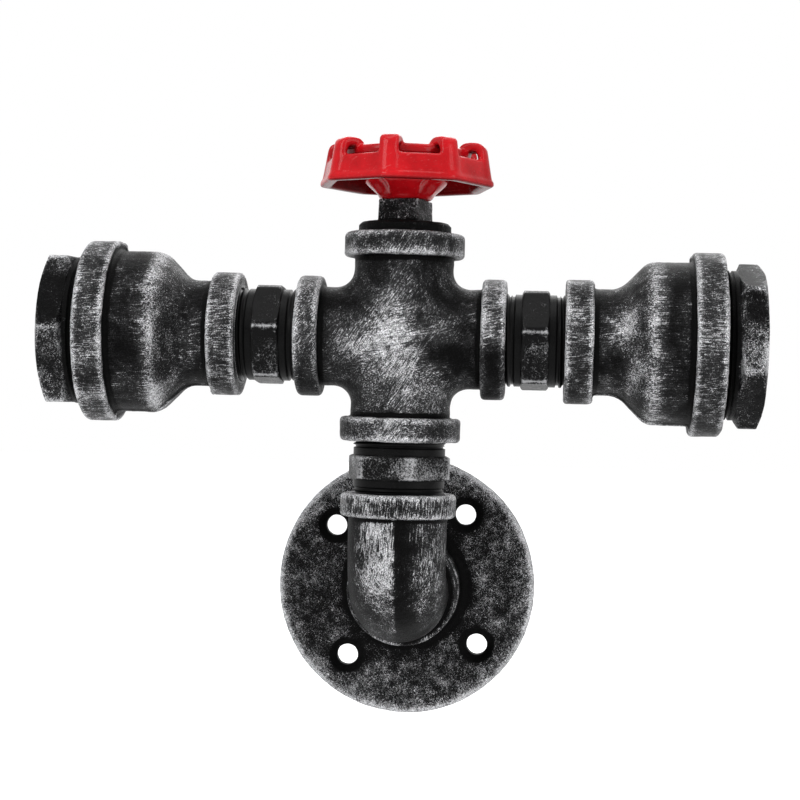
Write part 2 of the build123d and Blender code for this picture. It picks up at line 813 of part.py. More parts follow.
def centre_plunger():
    head_top = plunger_rest + plunger_head_t
    foot_top = plate_back - wire_gap
    head = turned(
        [(0, plunger_rest), (plunger_head_r, plunger_rest), (plunger_head_r, head_top), (0, head_top)],
        {2: plunger_dome},
    )
    stem = rod(plunger_stem_r, foot_top - plunger_foot_t, plunger_rest + EPS)
    return head + stem + rod(plunger_foot_r, foot_top - plunger_foot_t, foot_top)


def plunger_spring():
    """A coil between the pocket's floor and the plunger's head, round the stem."""
    coil_r = plunger_head_r - spring_wire / 2 - wire_gap
    low = pocket_floor + spring_wire / 2 + wire_gap
    high = plunger_rest - spring_wire / 2 - wire_gap
    path = Helix((high - low) / spring_turns, high - low, coil_r, center=(0, 0, low))
    section = Plane(path @ 0, z_dir=path % 0) * RegularPolygon(spring_wire / 2, spring_wire_sides)
    return sweep(section, path=path, is_frenet=True)


def retaining_ring():
    top = holder_front - holder_shoulder_t - wire_gap / 2
    low = top - ring_length
    ring = ring_between(ring_inner_r, bushing_bore_r - thread_clearance, low, top)
    notch = Pos(0, 0, low) * Box(3 * bushing_bore_r, ring_notch_w, 2 * ring_notch_depth)
    return ring - notch


# ---------------------------------------------------------------- wiring
block_z = -block_drop
pole_x = {"live": -pole_pitch / 2, "neutral": pole_pitch / 2}


def terminal_block():
    block = Pos(0, -block_front - block_length / 2, block_z) * Box(block_width, block_length, block_height)
    block = fillet(block.edges().filter_by(Axis.Y), block_round)
    way = rod(clamp_outer_r + clamp_clearance, block_front - EPS, block_front + block_length + EPS)
    for x in pole_x.values():
        block -= Pos(x, 0, block_z) * OUT_OF_WALL * way
        for y in clamp_screw_places():
            block -= Pos(x, y, block_z) * rod(clamp_screw_r + clamp_clearance, 0, block_height)
    return block


def clamp_screw_places():
    middle = -block_front - block_length / 2
    return [middle - clamp_screw_spacing / 2, middle + clamp_screw_spacing / 2]


def terminal_clamps():
    clamps = []
    for x in pole_x.values():
        low, high = block_front + clamp_inset, block_front + block_length - clamp_inset
        tube = Pos(x, 0, block_z) * OUT_OF_WALL * ring_between(clamp_inner_r, clamp_outer_r, low, high)
        for y in clamp_screw_places():
            tube -= Pos(x, y, block_z) * rod(clamp_screw_r + clamp_clearance, 0, clamp_outer_r + EPS)
        clamps.append(tube)
    return clamps


def clamp_screws():
    screws = []
    tip = 2 * wire_r + wire_gap
    for x in pole_x.values():
        for y in clamp_screw_places():
            top = block_height / 2 - clamp_screw_sink
            screw = rod(clamp_screw_r, tip, top)
            screw -= screw_slot(top, clamp_screw_r, clamp_slot_w, clamp_slot_depth)
            screws.append(Pos(x, y, block_z) * screw)
    return screws


def wire(side, pole):
    """One wire, from under its terminal screw along the arm, down the middle and into the block.

    side is 1 for the right head and -1 for the left one. The left head is the right one turned half
    round the light's front-to-back axis, so its live terminal is the lower one.
    """
    up = side if pole == "live" else -side
    y = -axis_stand_off - side * wire_lane_y
    x_end, x_turn = side * wire_seat, pole_x[pole]
    z_run = cross_z + up * wire_lane_z
    z_block = block_z - side * (wire_r + wire_gap / 4)
    y_end = -block_front - block_length / 2 - wire_gap
    route = [
        (x_end, y, cross_z + up * (terminal_radius + wire_tail)),
        (x_end, y, z_run),
        (x_turn, y, z_run),
        (x_turn, y, z_block),
        (x_turn, y_end, z_block),
    ]
    path = FilletPolyline(*route, radius=[wire_bend_r, wire_turn_r, wire_turn_r])
    return sweep(Plane(path @ 0, z_dir=path % 0) * Circle(wire_r), path=path)


# ---------------------------------------------------------------- nodes
write("wall_flange", wall_flange())
write("flange_nipple", flange_nipple())
write("earth_screw", earth_screw())
write("earth_washer", earth_washer())
write("elbow", elbow())
lower_nipple = Rot(0, 0, lower_hex_turn) * hex_nipple(lower_gap, lower_hex_af, lower_hex_width)
write("lower_hex_nipple", Pos(0, -axis_stand_off, elbow_top_z + lower_gap / 2) * lower_nipple)
write("cross", cross())
write("top_plug", top_plug())
write("handwheel", handwheel())
write("wheel_sleeve", wheel_sleeve())
write("wheel_washer", wheel_washer())
write("wheel_spring_washer", wheel_spring_washer())
write("wheel_screw", wheel_screw())
write("terminal_block", terminal_block())
write("terminal_clamps", *terminal_clamps())
write("clamp_screws", *clamp_screws())

nipple_middle = cross_reach + side_gap / 2
heads = (
    ("left", LEFT_HEAD, -1, left_hex_turn, left_bushing_turn),
    ("right", RIGHT_HEAD, 1, right_hex_turn, right_bushing_turn),
)
for name, head, side, nipple_turn, bushing_turn in heads:
    side_nipple = Rot(0, 0, nipple_turn) * hex_nipple(side_gap, side_hex_af, side_hex_width)
    write(f"{name}_hex_nipple", head * Pos(0, 0, nipple_middle) * side_nipple)
    write(f"{name}_reducer", head * bell_reducer())
    write(f"{name}_bushing", head * Rot(0, 0, bushing_turn) * bushing())
    write(f"{name}_lampholder_body", head * lampholder_body())
    write(f"{name}_socket_shell", head * socket_shell())
    write(f"{name}_shell_rivet", head * shell_rivet())
    write(f"{name}_retaining_ring", head * retaining_ring())
    write(f"{name}_centre_plunger", head * centre_plunger())
    write(f"{name}_plunger_spring", head * plunger_spring())
    write(f"{name}_live_terminal", head * live_terminal())
    write(f"{name}_neutral_terminal", head * neutral_terminal())
    write(f"{name}_terminal_screws", *[head * screw for screw in terminal_screws()])
    write(f"{name}_live_wire", wire(side, "live"))
    write(f"{name}_neutral_wire", wire(side, "neutral"))
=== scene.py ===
import json
from math import cos, pi, radians, sin, tan

import bmesh
import bpy
import numpy as np
from mathutils import Matrix, Vector


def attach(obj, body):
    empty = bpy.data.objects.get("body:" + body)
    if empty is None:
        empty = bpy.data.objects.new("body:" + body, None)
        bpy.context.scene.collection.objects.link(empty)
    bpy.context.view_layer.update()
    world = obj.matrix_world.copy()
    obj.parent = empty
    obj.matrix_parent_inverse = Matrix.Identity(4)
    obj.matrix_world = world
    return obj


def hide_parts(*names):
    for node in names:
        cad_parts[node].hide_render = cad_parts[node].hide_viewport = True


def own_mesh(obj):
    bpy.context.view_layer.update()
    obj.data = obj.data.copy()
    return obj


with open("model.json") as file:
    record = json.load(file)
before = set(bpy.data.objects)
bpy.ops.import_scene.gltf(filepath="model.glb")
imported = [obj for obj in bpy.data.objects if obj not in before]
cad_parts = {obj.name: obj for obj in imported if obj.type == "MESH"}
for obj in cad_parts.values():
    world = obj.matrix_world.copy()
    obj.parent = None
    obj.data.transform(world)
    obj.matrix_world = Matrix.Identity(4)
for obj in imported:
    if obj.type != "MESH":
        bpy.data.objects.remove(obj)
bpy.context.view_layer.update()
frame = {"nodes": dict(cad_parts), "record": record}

MM = 0.001
BODY = "pipework"
nodes = frame["nodes"]

# ---------------------------------------------------------------- places, as in the part
AXIS_Y = -48.0
CROSS_Z = 74.6
CROSS_REACH = 29.6
ELBOW_REACH = 30.4
BOLT_CIRCLE_R, BOLT_TURNS = 28.3, (51.3, 141.3, 231.3, 321.3)
LOWER_GAP, SIDE_GAP = 14.6, 16.4
THREAD_R, BIG_THREAD_R = 13.2, 21.1
ENGAGED, NECK = 12.4, 2.0
PITCH, BIG_PITCH, SOCKET_PITCH = 1.81, 2.31, 3.629
HEX_CHAMFER = 22
REDUCER_START, REDUCER_END = 46.0, 90.0
BUSHING_HEX = (93.6, 101.0)

UPRIGHT = Matrix.Translation((0, AXIS_Y, 0))
CROSS_AT = Matrix.Translation((0, AXIS_Y, CROSS_Z))
HEADS = {
    "left": CROSS_AT @ Matrix.Rotation(radians(-90), 4, "Y"),
    "right": CROSS_AT @ Matrix.Rotation(radians(90), 4, "Y"),
}


# ---------------------------------------------------------------- mesh tools
class Skin:
    """Vertices in millimetres and faces, gathered from several closed shells."""

    def __init__(self):
        self.points, self.faces, self.count = [], [], 0

    def add(self, points, faces):
        self.points.append(np.asarray(points, float))
        self.faces.append(np.asarray(faces, np.int64) + self.count)
        self.count += len(points)

    def arrays(self):
        return np.vstack(self.points), np.vstack(self.faces)


def ramp(values, start, width):
    """From 0 at start to 1 at start + width; a negative width runs the other way."""
    return np.clip((values - start) / width, 0, 1)


def bell(*parts):
    """1 at the middle and 0 far from it; each part is (values, middle, width)."""
    return np.exp(-sum(((values - middle) / width) ** 2 for values, middle, width in parts))


def moved(points, matrix):
    m = np.array(matrix)
    return points @ m[:3, :3].T + m[:3, 3]


def around(segments):
    return np.arange(segments) * 2 * pi / segments


def from_corner(points, turn):
    """Degrees from the nearest corner of a hexagon round Z that has one at turn degrees."""
    return np.mod(np.degrees(np.arctan2(points[:, 1], points[:, 0])) - turn + 30, 60) - 30


def edges_of(faces):
    """Every edge once, from quads or triangles padded with a repeated corner."""
    pairs = np.vstack([faces[:, [k, (k + 1) % faces.shape[1]]] for k in range(faces.shape[1])])
    pairs = pairs[pairs[:, 0] != pairs[:, 1]]
    pairs.sort(axis=1)
    return np.unique(pairs, axis=0)


def averaged(values, edges, rounds, keep=0.5):
    """Each value mixed with the mean of its neighbours, several times over."""
    n = len(values)
    a, b = edges[:, 0], edges[:, 1]
    degree = np.maximum(np.bincount(a, minlength=n) + np.bincount(b, minlength=n), 1)
    out = values.astype(float).reshape(n, -1).copy()
    for _ in range(rounds):
        for c in range(out.shape[1]):
            v = out[:, c]
            total = np.bincount(a, weights=v[b], minlength=n) + np.bincount(b, weights=v[a], minlength=n)
            out[:, c] = keep * v + (1 - keep) * total / degree
    return out.reshape(values.shape)


def vertex_normals(points, faces):
    a, b, c, d = (points[faces[:, k]] for k in (0, 1, 2, -1))
    n = np.cross(c - a, d - b)
    out = np.zeros_like(points)
    for k in range(faces.shape[1]):
        for axis in range(3):
            out[:, axis] += np.bincount(faces[:, k], weights=n[:, axis], minlength=len(points))
    return out / np.maximum(np.linalg.norm(out, axis=1, keepdims=True), 1e-12)


def rough(points, cell, seed):
    """Smooth noise from -1 to 1 with features of about this many millimetres."""
    q = points / cell + seed * 17.31
    i = np.floor(q).astype(np.int64)
    f = q - i
    f = f * f * (3 - 2 * f)
    out = np.zeros(len(points))
    for dx in (0, 1):
        for dy in (0, 1):
            for dz in (0, 1):
                x, y, z = (i + (dx, dy, dz)).T
                h = x * 73856093 ^ y * 19349663 ^ z * 83492791 ^ seed * 2654435761
                h = (h ^ (h >> 13)) * 1274126177
                h = ((h ^ (h >> 16)) & 0xFFFF) / 65535.0
                wx = f[:, 0] if dx else 1 - f[:, 0]
                wy = f[:, 1] if dy else 1 - f[:, 1]
                wz = f[:, 2] if dz else 1 - f[:, 2]
                out += wx * wy * wz * h
    return 2 * out - 1


def cast(points, faces, seed, swell, grain):
    """Uneven cast skin: pushes each point in or out a little along its normal."""
    n = vertex_normals(points, faces)
    push = swell * (rough(points, 6.5, seed) - 0.6) + grain * (rough(points, 1.5, seed + 1) - 0.3)
    push += 0.5 * grain * rough(points, 0.8, seed + 2)
    return points + n * push[:, None]


def finish_piece(name, points, faces, body, material, replaces, rounds=14, reach=0.22, bright=None):
    """Makes the object, with its "edge" and "bright" numbers.

    rounds: how far round a point its height is compared; reach: the height in millimetres that counts as an edge.
    """
    edges = edges_of(faces)
    n = vertex_normals(points, faces)
    proud = np.einsum("ij,ij->i", points - averaged(points, edges, rounds), n)
    proud = averaged(proud, edges, 2)
    edge = np.clip(0.5 + 0.5 * proud / reach, 0, 1)
    bright = np.zeros(len(points)) if bright is None else averaged(bright, edges, 4)
    mesh = bpy.data.meshes.new(name)
    mesh.from_pydata((points * MM).tolist(), [], [tuple(dict.fromkeys(f)) for f in faces.tolist()])
    mesh.validate()
    mesh.update()
    mesh.shade_smooth()
    for key, values in (("edge", edge), ("bright", bright)):
        attribute = mesh.attributes.new(key, "FLOAT", "POINT")
        attribute.data.foreach_set("value", values.astype(np.float32))
    mesh.materials.append(material)
    obj = bpy.data.objects.new(name, mesh)
    bpy.context.scene.collection.objects.link(obj)
    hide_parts(*replaces)
    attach(obj, body)


def remeshed(node, voxel, smooth):
    """One closed quad skin round a CAD node, on its surface, in millimetres."""
    bm = bmesh.new()
    bm.from_mesh(nodes[node].data)
    bmesh.ops.scale(bm, vec=(1 / MM,) * 3, verts=bm.verts)
    bmesh.ops.remove_doubles(bm, verts=bm.verts, dist=1e-3)
    source = bpy.data.meshes.new("source")
    bm.to_mesh(source)
    bm.free()
    keeper = bpy.data.objects.new("source", source)
    work = bpy.data.objects.new("work", source.copy())
    for obj in (keeper, work):
        bpy.context.scene.collection.objects.link(obj)
    remesh = work.modifiers.new("remesh", "REMESH")
    remesh.mode = "VOXEL"
    remesh.voxel_size = voxel
    wrap = work.modifiers.new("wrap", "SHRINKWRAP")
    wrap.target = keeper
    wrap.wrap_method = "NEAREST_SURFACEPOINT"
    depsgraph = bpy.context.evaluated_depsgraph_get()
    result = bpy.data.meshes.new_from_object(work.evaluated_get(depsgraph))
    points = np.empty(len(result.vertices) * 3)
    result.vertices.foreach_get("co", points)
    points = points.reshape(-1, 3)
    sizes = np.empty(len(result.polygons), np.int64)
    result.polygons.foreach_get("loop_total", sizes)
    loops = np.empty(len(result.loops), np.int64)
    result.loops.foreach_get("vertex_index", loops)
    faces = loops.reshape(-1, 4) if (sizes == 4).all() else padded_quads(loops, sizes)
    for obj in (keeper, work):
        data = obj.data
        bpy.data.objects.remove(obj)
        bpy.data.meshes.remove(data)
    bpy.data.meshes.remove(result)
    edges = edges_of(faces)
    for _ in range(smooth):
        points = averaged(points, edges, 1, 0.5)
        points = averaged(points, edges, 1, 1.53)
    return points, faces


def padded_quads(loops, sizes):
    """Quads and triangles as rows of four, a triangle with its first corner repeated."""
    starts = np.concatenate([[0], np.cumsum(sizes)[:-1]])
    rows = [list(loops[s:s + k]) + [loops[s]] * (4 - k) for s, k in zip(starts, sizes)]
    return np.array(rows)


def grid(radii, heights, angles):
    """A closed shell, facing out, from rows of (radius, height) round Z; the last row joins the first."""
    rows, count = radii.shape
    x, y = radii * np.cos(angles), radii * np.sin(angles)
    points = np.stack([x, y, heights], axis=-1).reshape(-1, 3)
    i = np.arange(rows)
    j = np.arange(count)
    a = i[:, None] * count + j
    b = i[:, None] * count + (j + 1) % count
    c = ((i + 1) % rows)[:, None] * count + (j + 1) % count
    d = ((i + 1) % rows)[:, None] * count + j
    faces = np.stack([a, b, c, d], axis=-1).reshape(-1, 4)
    p, q, r, t = (points[faces[:, k]] for k in range(4))
    volume = np.einsum("ij,ij->", p, np.cross(q, r)) + np.einsum("ij,ij->", p, np.cross(r, t))
    return points, faces if volume > 0 else faces[:, ::-1]


def outline(corners, step, rounds):
    """A closed (radius, height) outline with filleted corners, cut into short steps; rounds is {corner: radius}."""
    n = len(corners)
    pts = []
    for k in range(n):
        p = np.array(corners[k], float)
        before, after = np.array(corners[k - 1], float), np.array(corners[(k + 1) % n], float)
        r = rounds.get(k, 0)
        if not r:
            pts.append(p)
            continue
        u, v = (before - p) / np.linalg.norm(before - p), (after - p) / np.linalg.norm(after - p)
        half = np.arccos(np.clip(u @ v, -1, 1)) / 2
        reach = r / np.tan(half)
        centre = p + (u + v) / np.linalg.norm(u + v) * r / np.sin(half)
        start, end = p + u * reach - centre, p + v * reach - centre
        turn = pi - 2 * half
        side = np.sign(start[0] * end[1] - start[1] * end[0])
        parts = max(3, int(np.ceil(r * turn / step)))
        for t in np.linspace(0, 1, parts + 1):
            a = side * turn * t
            arm = (start[0] * cos(a) - start[1] * sin(a), start[0] * sin(a) + start[1] * cos(a))
            pts.append(centre + np.array(arm))
    out = []
    for k in range(len(pts)):
        p, q = pts[k], pts[(k + 1) % len(pts)]
        parts = max(1, int(np.ceil(np.linalg.norm(q - p) / step - 1e-6)))
        out += [p + (q - p) * t / parts for t in range(parts)]
    return np.array(out)


def turned(corners, step, segments, rounds=None):
    """A shell of revolution round Z."""
    line = outline(corners, step, rounds or {})
    ones = np.ones(segments)
    return grid(line[:, :1] * ones, line[:, 1:] * ones, around(segments))


def hexagon(across, corner_d, low, high, bore, turn, step=0.3, segments=216):
    """A hexagonal ring with conical chamfers, its corners at turn degrees and every 60 more."""
    angles = radians(turn) + around(segments)
    within = np.mod(angles - radians(turn), pi / 3) - pi / 6
    side = np.minimum(across / 2 / np.cos(within), corner_d / 2)
    drop = np.maximum(side - across / 2, 0) * tan(radians(HEX_CHAMFER))
    flat_end = across / 2 - 0.35

    def face(z, sign):
        rows = [(bore + (flat_end - bore) * t, z) for t in np.linspace(0, 1, 8)]
        return rows + [(across / 2 + (side - across / 2) * t, z - sign * drop * t) for t in (0, 0.5, 1)]

    steps = max(2, int((high - low) / step))
    middle = [(side, (high - drop) * (1 - t) + (low + drop) * t) for t in np.linspace(0, 1, steps + 1)[1:-1]]
    inside = [(bore, low + (high - low) * t) for t in np.linspace(0, 1, 6)[1:-1]]
    rows = face(high, 1) + middle + face(low, -1)[::-1] + inside
    ones = np.ones(segments)
    return grid(np.array([r * ones for r, _ in rows]), np.array([z * ones for _, z in rows]), angles)


def thread_depth(angles, z, pitch):
    """0 on the crest and 1 at the root of a right-handed screw thread."""
    phase = np.mod(z / pitch - angles / (2 * pi), 1.0)
    wave = 0.5 - 0.5 * np.cos(2 * pi * phase)
    return np.clip(1.25 * wave - 0.12, 0, 1) ** 1.2


def threaded(low, high, radius, bore, pitch, depth, shape, span, segments=144):
    """A tube with a helical thread, finely cut where it shows, in span.

    shape(z) gives how much thread there is at a height, from 0 to 1, and how far below the crest the plain part lies.
    """
    angles = around(segments)
    first, last = span

    def heights_between(a, b, step):
        n = max(1, int(np.ceil((b - a) / step)))
        return list(np.linspace(a, b, n + 1)[:-1])

    z = heights_between(low, first, 0.9)
    z += heights_between(first, last, 0.22)
    z += heights_between(last, high, 0.9) if last < high else []
    z = np.array(z + [high])
    much, below = np.array([shape(v) for v in z]).T
    r = radius - below[:, None] - (much * depth)[:, None] * thread_depth(angles, z[:, None], pitch)
    back = np.linspace(high, low, max(4, int((high - low) / 2)))
    r = np.vstack([r, bore * np.ones((len(back), segments))])
    heights = np.concatenate([z, back])[:, None] * np.ones(segments)
    return grid(r, heights, angles)


# ---------------------------------------------------------------- materials
class Net:
    """Small helper for shader node trees."""

    def __init__(self, name):
        self.material = bpy.data.materials.new(name)
        self.material.use_nodes = True
        self.tree = self.material.node_tree
        self.tree.nodes.clear()
        self.out = self.tree.nodes.new("ShaderNodeOutputMaterial")
        self.shader = self.tree.nodes.new("ShaderNodeBsdfPrincipled")
        self.tree.links.new(self.shader.outputs["BSDF"], self.out.inputs["Surface"])
        coordinates = self.tree.nodes.new("ShaderNodeTexCoord")
        self.where = coordinates.outputs["Object"]

    def put(self, socket, value):
        """Links a socket or sets a number or colour."""
        if isinstance(value, bpy.types.NodeSocket):
            self.tree.links.new(value, socket)
        else:
            socket.default_value = value

    def set(self, **values):
        for key, value in values.items():
            self.put(self.shader.inputs[key.replace("_", " ")], value)

    def math(self, operation, a, b):
        node = self.tree.nodes.new("ShaderNodeMath")
        node.operation = operation
        self.put(node.inputs[0], a)
        self.put(node.inputs[1], b)
        return node.outputs[0]

    def add(self, *terms):
        total = terms[0]
        for term in terms[1:]:
            total = self.math("ADD", total, term)
        return total

    def times(self, a, b):
        return self.math("MULTIPLY", a, b)

    def stretched(self, scale, turn_y):
        """The place on the object, turned round Y by some degrees and scaled along each axis."""
        where = self.where
        if turn_y:
            rotate = self.tree.nodes.new("ShaderNodeVectorRotate")
            rotate.rotation_type = "Y_AXIS"
            self.put(rotate.inputs["Vector"], where)
            rotate.inputs["Angle"].default_value = radians(turn_y)
            where = rotate.outputs[0]
        node = self.tree.nodes.new("ShaderNodeVectorMath")
        node.operation = "MULTIPLY"
        self.put(node.inputs[0], where)
        node.inputs[1].default_value = scale
        return node.outputs[0]

    def noise(self, per_mm, detail=3.0, roughness=0.55, distortion=0.0, turn_y=0.0):
        """Noise from 0 to 1; per_mm is how many features fit in a millimetre, one number or one per axis."""
        scale = per_mm if isinstance(per_mm, tuple) else (per_mm,) * 3
        node = self.tree.nodes.new("ShaderNodeTexNoise")
        self.put(node.inputs["Vector"], self.stretched(tuple(s / MM for s in scale), turn_y))
        node.inputs["Scale"].default_value = 1.0
        node.inputs["Detail"].default_value = detail
        node.inputs["Roughness"].default_value = roughness
        node.inputs["Distortion"].default_value = distortion
        return node.outputs["Fac"]

    def step(self, value, low, high, to_low=0.0, to_high=1.0):
        """Smoothly from to_low to to_high as the value goes from low to high."""
        node = self.tree.nodes.new("ShaderNodeMapRange")
        node.interpolation_type = "SMOOTHSTEP"
        sockets = ("Value", "From Min", "From Max", "To Min", "To Max")
        for key, v in zip(sockets, (value, low, high, to_low, to_high)):
            self.put(node.inputs[key], v)
        return node.outputs[0]

    def blend(self, factor, a, b):
        """Numbers a to b as factor goes from 0 to 1."""
        return self.add(a, self.times(self.math("SUBTRACT", b, a), factor))

    def mix(self, factor, a, b):
        """Colours a to b as factor goes from 0 to 1."""
        node = self.tree.nodes.new("ShaderNodeMix")
        node.data_type = "RGBA"
        self.put(node.inputs[0], factor)
        self.put(node.inputs[6], a)
        self.put(node.inputs[7], b)
        return node.outputs[2]

    def attribute(self, name):
        node = self.tree.nodes.new("ShaderNodeAttribute")
        node.attribute_name = name
        return node.outputs["Fac"]

    def bump(self, height, strength, depth_mm):
        node = self.tree.nodes.new("ShaderNodeBump")
        node.inputs["Strength"].default_value = strength
        node.inputs["Distance"].default_value = depth_mm * MM
        self.put(node.inputs["Height"], height)
        return node.outputs[0]


def grey(level, blue=1.02):
    return (level, level, level * blue, 1.0)


def iron(name, turns, cover, edge_gain, worm, fog, soft, patchy=0.30, curl=1.35):
    """Black paint on cast iron, silver brushed over what stands proud.

    turns: two directions of the brush in degrees; cover: how much silver everywhere; edge_gain: how much more on
    edges; worm: how much of the silver is fine curls instead of strokes; fog: how grey the black turns beside the
    silver; soft: how gently the silver ends; patchy: how far the cover differs from place to place; curl: curls in
    a millimetre.
    """
    net = Net(name)
    edge = net.attribute("edge")
    proud = net.step(edge, 0.53, 0.92)
    hollow = net.step(edge, 0.16, 0.47, 1.0, 0.0)
    fine = net.noise(3.6, 2.0, 0.6)
    curls = net.noise(curl, 5.0, 0.74, 2.0)
    one, two = (net.noise((0.26, 3.6, 3.6), 3.0, 0.62, 0.5, turn) for turn in turns)
    lines = net.blend(net.step(net.noise(0.07, 2.0, 0.5), 0.44, 0.56), one, two)
    patch = net.noise(0.11, 4.0, 0.65, 0.4)
    mark = net.step(net.blend(worm, lines, curls), 0.30, 0.72)
    much = net.add(
        net.times(net.step(patch, 0.30, 0.70), patchy),
        net.times(proud, 0.26 * edge_gain),
        net.times(hollow, -0.55),
        # the bright number adds silver; on the elbow and the right reducer part of it is painted highlight and painted
        # shade
        net.times(net.attribute("bright"), 0.40),
        cover,
    )
    haze = net.times(net.step(net.add(much, net.times(mark, 0.35)), 0.20, 1.0), fog)
    low = net.math("SUBTRACT", 1.0, much)
    silver = net.step(mark, low, net.add(low, soft))
    specks = net.times(net.step(curls, 0.60, 0.68), net.step(much, 0.10, 0.40, 0.0, 0.7))
    silver = net.math("MAXIMUM", silver, specks)
    base = net.mix(net.step(fine, 0.4, 0.7), grey(0.001), grey(0.005))
    hazed = net.mix(net.step(fine, 0.3, 0.7), grey(0.032, 1.03), grey(0.13, 1.03))
    paint = net.mix(net.step(fine, 0.34, 0.66), grey(0.20), grey(0.95))
    colour = net.mix(silver, net.mix(haze, base, hazed), paint)
    net.set(Base_Color=colour, Metallic=net.times(silver, 0.2), Roughness=net.step(silver, 0.0, 1.0, 0.42, 0.55))
    net.set(Specular_IOR_Level=net.step(haze, 0.0, 1.0, 0.03, 0.25))
    height = net.add(net.times(curls, 0.9), net.times(fine, 0.3), net.times(lines, 0.7), net.times(silver, 0.2))
    net.set(Normal=net.bump(height, 0.9, 0.2))
    return net.material


def threads(name):
    """Blackened threads and hexagons: satin black, with silver specks on the corners."""
    net = Net(name)
    grain = net.noise(2.1, 4.0, 0.7, 1.0)
    fine = net.noise(3.4, 2.0, 0.6)
    patch = net.noise(0.16, 2.0, 0.6)
    proud = net.step(net.attribute("edge"), 0.60, 1.0)
    lit = net.times(net.attribute("bright"), 0.45)
    score = net.add(net.times(grain, 1.25), net.times(patch, 0.6), net.times(proud, 0.12), lit, -1.32)
    silver = net.step(score, 0.0, 0.32)
    base = net.mix(net.step(fine, 0.35, 0.7), grey(0.0015), grey(0.006))
    colour = net.mix(net.times(silver, 0.9), base, grey(0.42))
    net.set(Specular_IOR_Level=0.06)
    net.set(Base_Color=colour, Metallic=net.times(silver, 0.3), Roughness=net.step(silver, 0.0, 1.0, 0.38, 0.5))
    net.set(Normal=net.bump(net.add(net.times(grain, 0.6), net.times(fine, 0.4)), 0.6, 0.10))
    return net.material


def red_enamel():
    """Red enamel with chips and scuffs; where "bright" is below 0 it is painted dark as shade, and dull."""
    net = Net("red_enamel")
    edge, bright = net.attribute("edge"), net.attribute("bright")
    patch = net.noise(0.09, 3.0, 0.6)
    ripple = net.noise(0.35, 2.0, 0.5)
    fine = net.noise(1.2, 4.0, 0.7, 0.6)
    hollow = net.step(edge, 0.15, 0.48, 1.0, 0.0)
    rim = net.step(edge, 0.62, 0.95)
    chips = net.step(net.add(fine, net.times(rim, 0.16)), 0.76, 0.80)
    scuffs = net.step(net.noise((0.22, 2.4, 2.4), 4.0, 0.7, 0.4, 24), 0.60, 0.72)
    colour = net.mix(net.step(patch, 0.3, 0.7), (0.38, 0.003, 0.006, 1), (0.58, 0.007, 0.012, 1))
    # painted shade: darker red in hollows and creases
    colour = net.mix(net.times(hollow, 0.5), colour, (0.20, 0.002, 0.004, 1))
    # painted shade: dark red where bright is below 0, on the wheel's underside and inside its skirt
    colour = net.mix(net.step(bright, -1.0, 0.0, 0.82, 0.0), colour, (0.075, 0.001, 0.002, 1))
    # painted highlight: lighter red along proud edges
    colour = net.mix(net.times(rim, 0.35), colour, (0.80, 0.06, 0.07, 1))
    colour = net.mix(net.times(scuffs, 0.34), colour, (0.66, 0.22, 0.22, 1))
    colour = net.mix(net.times(chips, 0.85), colour, (0.62, 0.50, 0.48, 1))
    net.set(Base_Color=colour, Roughness=net.step(net.add(chips, net.times(scuffs, 0.4)), 0.0, 1.0, 0.22, 0.5))
    shine = net.step(bright, -0.8, 0.0)
    net.set(Coat_Weight=net.times(shine, 0.16), Coat_Roughness=0.05, Specular_IOR_Level=net.blend(shine, 0.02, 0.05))
    net.set(Normal=net.bump(net.add(ripple, net.times(fine, 0.12), net.times(chips, -0.15)), 0.35, 0.22))
    return net.material


def plain_metal(name, light, dark, roughness, streak=(0.3, 0.3, 0.3)):
    net = Net(name)
    grain = net.noise(2.4, 3.0, 0.6)
    lines = net.noise(streak, 3.0, 0.6)
    colour = net.mix(net.step(net.add(net.times(grain, 0.4), net.times(lines, 0.6)), 0.35, 0.65), dark, light)
    net.set(Base_Color=colour, Metallic=1.0, Roughness=net.step(lines, 0.3, 0.7, roughness - 0.06, roughness + 0.1))
    net.set(Normal=net.bump(grain, 0.25, 0.05))
    return net.material


def porcelain():
    net = Net("porcelain")
    spots = net.noise(2.2, 2.0, 0.5)
    waves = net.noise(0.2, 2.0, 0.5)
    colour = net.mix(net.step(waves, 0.3, 0.7), (0.80, 0.78, 0.73, 1), (0.86, 0.85, 0.81, 1))
    colour = net.mix(net.step(spots, 0.72, 0.80), colour, (0.58, 0.54, 0.48, 1))
    net.set(Base_Color=colour, Roughness=net.step(spots, 0.3, 0.7, 0.14, 0.24), Coat_Weight=0.4, Coat_Roughness=0.08)
    net.set(Normal=net.bump(waves, 0.2, 0.2))
    return net.material


def matte(name, light, dark, roughness):
    net = Net(name)
    grain = net.noise(1.6, 3.0, 0.6)
    net.set(Base_Color=net.mix(net.step(grain, 0.3, 0.7), dark, light))
    net.set(Roughness=net.step(grain, 0.3, 0.7, roughness - 0.06, roughness + 0.06))
    net.set(Normal=net.bump(grain, 0.3, 0.06))
    return net.material


iron_flange = iron(
    "iron_flange", (35, -60), cover=0.28, edge_gain=1.1, worm=0.92, fog=0.40, soft=0.17, patchy=0.10, curl=1.9
)
iron_elbow = iron("iron_elbow", (90, 84), cover=0.02, edge_gain=1.0, worm=0.4, fog=0.4, soft=0.24)
iron_cross = iron("iron_cross", (56, 15), cover=0.09, edge_gain=0.9, worm=0.45, fog=0.7, soft=0.28)
iron_reducer = iron("iron_reducer", (0, 8), cover=0.11, edge_gain=1.0, worm=0.5, fog=0.65, soft=0.24)
iron_bushing = iron("iron_bushing", (90, 40), cover=0.0, edge_gain=0.6, worm=0.85, fog=0.5, soft=0.2)
iron_plug = iron("iron_plug", (50, -40), cover=0.08, edge_gain=0.6, worm=0.95, fog=0.5, soft=0.2)
black_threads = threads("black_threads")
red = red_enamel()

